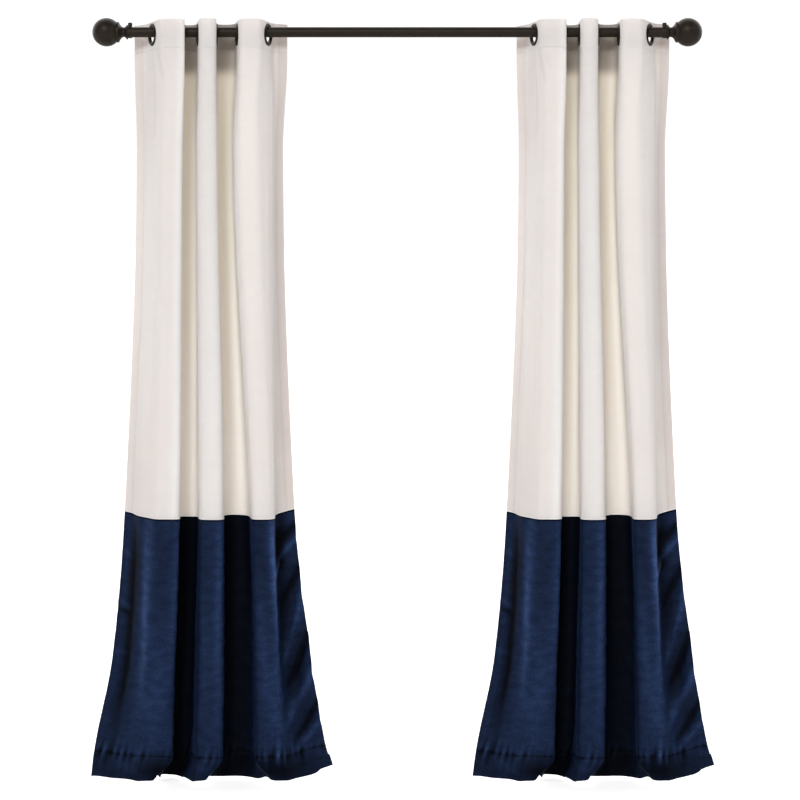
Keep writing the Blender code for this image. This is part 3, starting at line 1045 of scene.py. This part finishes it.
finial_mesh = turned("finial", finial_outline(), FINIAL_SIDES)
MOUTHS = {"left": -1, "right": 1}
for side, way in MOUTHS.items():
    place = Matrix.Translation((way * (ROD_LENGTH / 2 - SOCKET_DEPTH), 0, 0))
    turn = Matrix.Rotation(way * pi / 2, 4, "Y")
    metal_piece(f"{side}_ball_finial", finial_mesh, f"finial_{side}", place @ turn)
print("finial faces:", len(finial_mesh.polygons))

# %% [markdown]
# The finial screws
# A small thumb screw stands on each sleeve and holds the finial to the rod. Its head is domed and
# ribbed round its side for the fingers. The ribs are made by pushing every other line of the turned
# head in.

# %% The finial screws
SCREW_DIAMETER = 0.012
SCREW_TOP = 0.0268
SCREW_PLACE = 0.0058
DOME_SHARE = 0.4
DOME_STEPS = 8
RIBS = 28
RIB_GROOVE = 0.94


def screw_outline():
    wide = SCREW_DIAMETER / 2
    foot = FINIAL_SECTIONS["sleeve"].diameter / 2 * MM + FIT_GAP
    dome = DOME_SHARE * wide
    found = [(0, foot), (wide, foot), (wide, SCREW_TOP - dome)]
    for step in range(1, DOME_STEPS + 1):
        angle = pi / 2 * step / DOME_STEPS
        found.append((wide * cos(angle), SCREW_TOP - dome + dome * sin(angle)))
    return found


screw_mesh = turned("screw", screw_outline(), 2 * RIBS)
for point in screw_mesh.vertices:
    across, behind, height = point.co
    from_axis = (across**2 + behind**2) ** 0.5
    turn = round(np.arctan2(behind, across) / (pi / RIBS)) % 2
    if turn and from_axis > SCREW_DIAMETER / 2 * 0.97:
        point.co = (across * RIB_GROOVE, behind * RIB_GROOVE, height)
for side, way in MOUTHS.items():
    place = Matrix.Translation((way * (ROD_LENGTH / 2 - SOCKET_DEPTH + SCREW_PLACE), 0, 0))
    metal_piece(f"{side}_thumb_screw", screw_mesh, f"finial_screw_{side}", place)
print("screws stand", round(SCREW_TOP / MM, 1), "mm above the rod's axis")

# %% [markdown]
# Eyelets
# An eyelet is two pressed rings that snap together through a hole in the heading. Each side is a
# rounded flange. They hang on the rod by the top of their bore, and stand square to the cloth where
# it crosses the rod.

# %% The eyelets
EYELET_OUTER = 0.0620
EYELET_BORE = 0.0430
EYELET_NECK = 0.0480
EYELET_HEIGHT = 0.0088
EYELET_ROUNDING = 0.0004
EYELET_SIDES = 72
FLANGE_STEPS = 12
FLANGE_FULLNESS = 0.6


def eyelet_outline():
    """A closed (radius, height) outline: two domed flanges with a groove for the heading."""
    bore, rim, neck = EYELET_BORE / 2, EYELET_OUTER / 2, EYELET_NECK / 2
    groove_half = HEADING_THICKNESS / 2 + FIT_GAP
    foot, top = groove_half + EYELET_ROUNDING, EYELET_HEIGHT / 2
    flange = [(neck, groove_half), (rim - EYELET_ROUNDING, groove_half), (rim, foot)]
    for step in range(1, FLANGE_STEPS):
        angle = pi * step / FLANGE_STEPS
        across = (rim + bore) / 2 + (rim - bore) / 2 * cos(angle)
        flange.append((across, foot + (top - foot) * sin(angle) ** FLANGE_FULLNESS))
    flange.append((bore, groove_half))
    return flange + [(bore, 0)] + [(reach, -height) for reach, height in reversed(flange)]


def eyelet_places(middle):
    """Each eyelet's number and its place and turn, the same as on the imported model."""
    drop = EYELET_BORE / 2 - ROD_DIAMETER / 2 - FIT_GAP
    for number in range(1, 7):
        thread = f"eyelet {number}"
        across = middle + ACROSS[thread].rod * MM
        way = crossing_way(thread, 0, -1 if number % 2 else 1)
        along_cloth = Vector((way[0] + across * FAN_BACK * way[1], way[1], 0))
        axis = along_cloth.normalized().cross(Vector((0, 0, 1)))
        turn = axis.to_track_quat("Z", "Y").to_matrix().to_4x4()
        yield number, Matrix.Translation((across, 0, -drop)) @ turn


eyelet_mesh = turned("eyelet", eyelet_outline(), EYELET_SIDES, closed=True, finish=EYELET_BRONZE)
EYELETS = {side: [] for side in SIDES}
for side, middle in SIDES.items():
    for number, place in eyelet_places(middle):
        node = f"{side}_eyelet_{number}"
        EYELETS[side].append(metal_piece(node + "_ring", eyelet_mesh, node, place))
print("eyelets:", sum(len(rings) for rings in EYELETS.values()))

# %% [markdown]
# The curtains
# Heading, ivory length and navy length are three sheets on one hanging grid. Each tucks a few
# millimetres behind the one above, as a seam allowance does, so no light comes through the joins.

# %% Hang the whole cloth
TUCK = 0.004
Length = namedtuple("Length", "first last step colour slot")
LENGTHS = {
    "heading": Length(0.0, HEADING_DEPTH, 0.004, "ivory", "ivory_velvet"),
    "upper": Length(HEADING_DEPTH, UPPER_END, 0.0060, "ivory", "ivory_velvet"),
    "lower": Length(UPPER_END, CLOTH_LENGTH, 0.0048, "navy", "navy_velvet"),
}
BESIDE_SEAM = (-0.0055, -0.0035, -0.0017, -0.0006, 0.0015, 0.0035, 0.006)
LINES = [line + offset for line in (HEM_LINE, HEADING_DEPTH) for offset in BESIDE_STITCHES]
LINES += [UPPER_END + offset for offset in BESIDE_SEAM]
ROWS = {}
for name, length in LENGTHS.items():
    rows = even_places(length.first, length.last, length.step, LINES)
    tuck = [length.first - TUCK, length.first - TUCK / 2] if length.first else []
    ROWS[name] = np.concatenate([tuck, rows])
ALL_ROWS = np.unique(np.concatenate(list(ROWS.values())))
WHOLE = hang(THREADS, ALL_ROWS)
print("rows:", {name: len(rows) for name, rows in ROWS.items()})

# %% [markdown]
# Painted light and shade
# The light and shade of the folds are partly painted into the colour, as one number for each point:
# painted shade in the navy's valleys, the troughs of creases, the turned hem and under the seam's
# lip, and in the ivory's valleys under the rod; painted highlights on the seam's lip, the heading's
# line of stitches and the tops of creases and puckers. The same number darkens the side hems' lines
# of stitches. A short table adds more painted highlights and painted shade at given places, in
# millimetres of flat cloth. A second number paints warm bounce light: deep between two ridges, the
# ivory sees only its own colour, so it's painted beige there, most of all higher up, where the
# valleys are narrow.

# %% Marks of painted highlight and painted shade
Mark = namedtuple("Mark", "across down reach_across reach_down change")
# Each mark paints a highlight (change above 0) or a shade (below 0): lit ridge edges, shaded
# returns and folds, hem glints.
PAINTED_LIGHT_MARKS = {
    "ivory": [
        Mark(60, 200, 70, 250, -0.12),
        Mark(60, 1300, 75, 330, -0.11),
        Mark(196, 760, 14, 800, 0.28),
        Mark(345, 760, 14, 700, 0.12),
        Mark(440, 760, 11, 700, 0.28),
        Mark(492, 760, 26, 800, 0.12),
        Mark(662, 760, 14, 700, 0.16),
        Mark(745, 760, 13, 700, 0.30),
        Mark(938, 700, 44, 1100, -0.21),
    ],
    "navy left of the first ridge": [
        Mark(40, 1750, 46, 420, -0.50),
        Mark(54, 1525, 24, 85, -0.80),
        Mark(18, 1640, 9, 300, 0.50),
        Mark(110, 1600, 22, 260, 0.75),
        Mark(165, 1900, 38, 180, 0.45),
        Mark(165, 1540, 30, 170, -0.25),
        Mark(206, 1540, 12, 200, 1.00),
    ],
    "navy on the second and third ridges": [
        Mark(440, 1700, 12, 500, -0.50),
        Mark(466, 1560, 22, 180, -0.25),
        Mark(508, 1620, 13, 320, 1.00),
        Mark(756, 1800, 14, 300, -0.45),
        Mark(792, 1500, 22, 170, -0.35),
        Mark(830, 1475, 12, 120, 2.30),
        Mark(838, 1690, 15, 160, 1.60),
        Mark(822, 1930, 22, 130, 0.60),
    ],
    "navy by the right edge": [
        Mark(880, 1468, 24, 95, -0.80),
        Mark(918, 1425, 20, 60, -0.60),
        Mark(906, 1640, 46, 150, -0.72),
        Mark(918, 1880, 38, 170, -0.60),
    ],
    "navy in the hem": [
        Mark(192, 2108, 56, 36, -0.82),
        Mark(812, 2108, 98, 34, -0.82),
        Mark(95, 2092, 45, 22, 0.60),
        Mark(462, 2092, 45, 24, 0.70),
        Mark(942, 2085, 24, 26, 0.50),
    ],
}


# Multiplies in the marks' painted highlights and painted shade.
def brushed_and_painted_light(down, across, colour):
    found = np.ones_like(down)
    for place, marks in PAINTED_LIGHT_MARKS.items():
        for mark in marks if place.startswith(colour) else ():
            right = (across / MM - mark.across) / mark.reach_across
            under = (down / MM - mark.down) / mark.reach_down
            found *= 1 + mark.change * np.exp(-(right**2) - under**2)
    return found


print("brushed marks:", {place: len(marks) for place, marks in PAINTED_LIGHT_MARKS.items()})


# %% Painted light and shade, and painted warm bounce light, of the cloth
# Painted shading: the relief's gain paints crease and pucker tops lighter and their troughs darker.
# The constants below paint shade in the navy's valleys, under the seam's lip, in the turned hem and
# under the rod, and highlights on the lip and the heading's stitches. The side stitches' darker
# line is the stitching's own.
PUCKER_PAINTED_SHADING = 1.6
RELIEF_PAINTED_SHADING = {"ivory": (30, 0.85, 1.08), "navy": (210, 0.20, 3.2)}
SIDE_STITCHES_DARKER = 0.06
HEADING_STITCHES_PAINTED_HIGHLIGHT = 0.08
ROD_SHADE = 0.46
LIP_PAINTED_HIGHLIGHT = 0.25
VALLEY_PAINTED_SHADE = 0.88
SEAM_PAINTED_SHADOW = 0.85
HEM_PAINTED_SHADE = 0.35


def deepness(across, behind):
    """0 on the ridges and the returns, 1 down in the valleys between the ridges."""
    inside = smooth_step((from_side(across) - 0.070) / 0.030)
    return smooth_step((behind + 0.012) / 0.052) * inside


def clear_of_rod(down):
    """0 in the shade under the rod, 1 below it."""
    return smooth_step((down - 0.112) / 0.046)


def stitches_and_painted_light_of(down, across, behind, relief, colour):
    gain, darkest, palest = RELIEF_PAINTED_SHADING[colour]
    # Painted highlights and shade from the marks and from the relief of creases and puckers.
    painted_light_factor = brushed_and_painted_light(down, across, colour) * np.clip(1 + gain * relief, darkest, palest)
    found = 1 - SIDE_STITCHES_DARKER * line_at_stitches(from_side(across) - SIDE_HEM, 0.0025)
    deep = deepness(across, behind)
    if colour == "ivory":
        # Painted shadow of the rod in the ivory's valleys.
        found -= ROD_SHADE * deep * (1 - clear_of_rod(down))
        # Painted highlights on the heading's line of stitches and on the seam's lip.
        stitches = line_at_stitches(down - HEADING_DEPTH + 0.0018, 0.0016)
        lip = smooth_step((down - UPPER_END + LIP) / (0.4 * LIP))
        return (found + HEADING_STITCHES_PAINTED_HIGHLIGHT * stitches) * painted_light_factor + LIP_PAINTED_HIGHLIGHT * lip
    # Painted shadow under the seam's lip, painted shade in the turned hem and in the navy's
    # valleys.
    seam = 1 - smooth_step((down - UPPER_END - 0.0025) / 0.0040)
    hem = smooth_step((down - HEM_LINE + 0.004) / 0.010)
    shade = (1 - VALLEY_PAINTED_SHADE * deep) * (1 - SEAM_PAINTED_SHADOW * seam) * (1 - HEM_PAINTED_SHADE * hem)
    return found * painted_light_factor * shade


# Painted warm bounce light, deep in the ivory's valleys, weaker under the rod and lower down.
def painted_bounce_warmth_of(down, across, behind, colour):
    if colour == "navy":
        return np.zeros_like(down)
    bounce_warm = 0.4 + 0.2 * clear_of_rod(down) - 0.28 * smooth_step((down - 0.45) / 0.9)
    return deepness(across, behind) * bounce_warm


print("deep in a valley:", deepness(np.array([0.3]), np.array([0.06])))


# %% Holes for the eyelets
PUNCH_LENGTH = 0.014


def punch_eyelet_holes(heading, middle):
    """Cuts a round hole at each eyelet, a little wider than the eyelet's neck."""
    shape = bmesh.new()
    hole = EYELET_NECK / 2 + FIT_GAP
    for _, place in eyelet_places(middle):
        bmesh.ops.create_cone(
            shape,
            cap_ends=True,
            segments=EYELET_SIDES,
            radius1=hole,
            radius2=hole,
            depth=PUNCH_LENGTH,
            matrix=place,
        )
    mesh = bpy.data.meshes.new("punch")
    shape.to_mesh(mesh)
    shape.free()
    punch = add_object("punch", mesh)
    cut = heading.modifiers.new("eyelet holes", "BOOLEAN")
    cut.operation = "DIFFERENCE"
    cut.object = punch
    ready = heading.evaluated_get(bpy.context.evaluated_depsgraph_get())
    holed = bpy.data.meshes.new_from_object(ready)
    heading.modifiers.clear()
    heading.data = holed
    bpy.data.objects.remove(punch)


# %% Lay the three lengths on the hanging grid
FINISHES = {"ivory": (IVORY, IVORY_BACK), "navy": (NAVY, NAVY_BACK)}
for name, length in LENGTHS.items():
    downs = ROWS[name]
    hung = WHOLE[np.isin(ALL_ROWS, downs)]
    down, across = np.meshgrid(downs, THREADS, indexing="ij")
    creases = crease_relief(down, across)
    out = hem_relief(down, across) + creases + ripples(down, across, length.colour)
    thick = thickness(down, across, length.first)
    # The relief that paints light and shade: the creases, and the hem's puckers counted stronger.
    relief = creases + PUCKER_PAINTED_SHADING * bottom_puckers(down, across)
    # Each point's painted light and shade, and its painted warm bounce light.
    looks = {
        "stitches_and_painted_light": stitches_and_painted_light_of(down, across, hung[..., 1], relief, length.colour),
        "painted_bounce_warmth": painted_bounce_warmth_of(down, across, hung[..., 1], length.colour),
    }
    for side, middle in SIDES.items():
        grid = fanned(hung, middle)
        normal = outward(grid)
        front = grid + normal * (out + thick / 2)[..., None]
        back = grid + normal * (out - thick / 2)[..., None]
        piece = sheet_piece(
            f"{side}_{name}_cloth", front, back, downs, THREADS, looks, FINISHES[length.colour]
        )
        if name == "heading":
            punch_eyelet_holes(piece, middle)
        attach(piece, "root")
        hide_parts(f"{side}_{name}")
    print(name, "points each:", grid.shape[:2])

for side in SIDES:
    for name, length in LENGTHS.items():
        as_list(EYELETS[side] if name == "heading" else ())
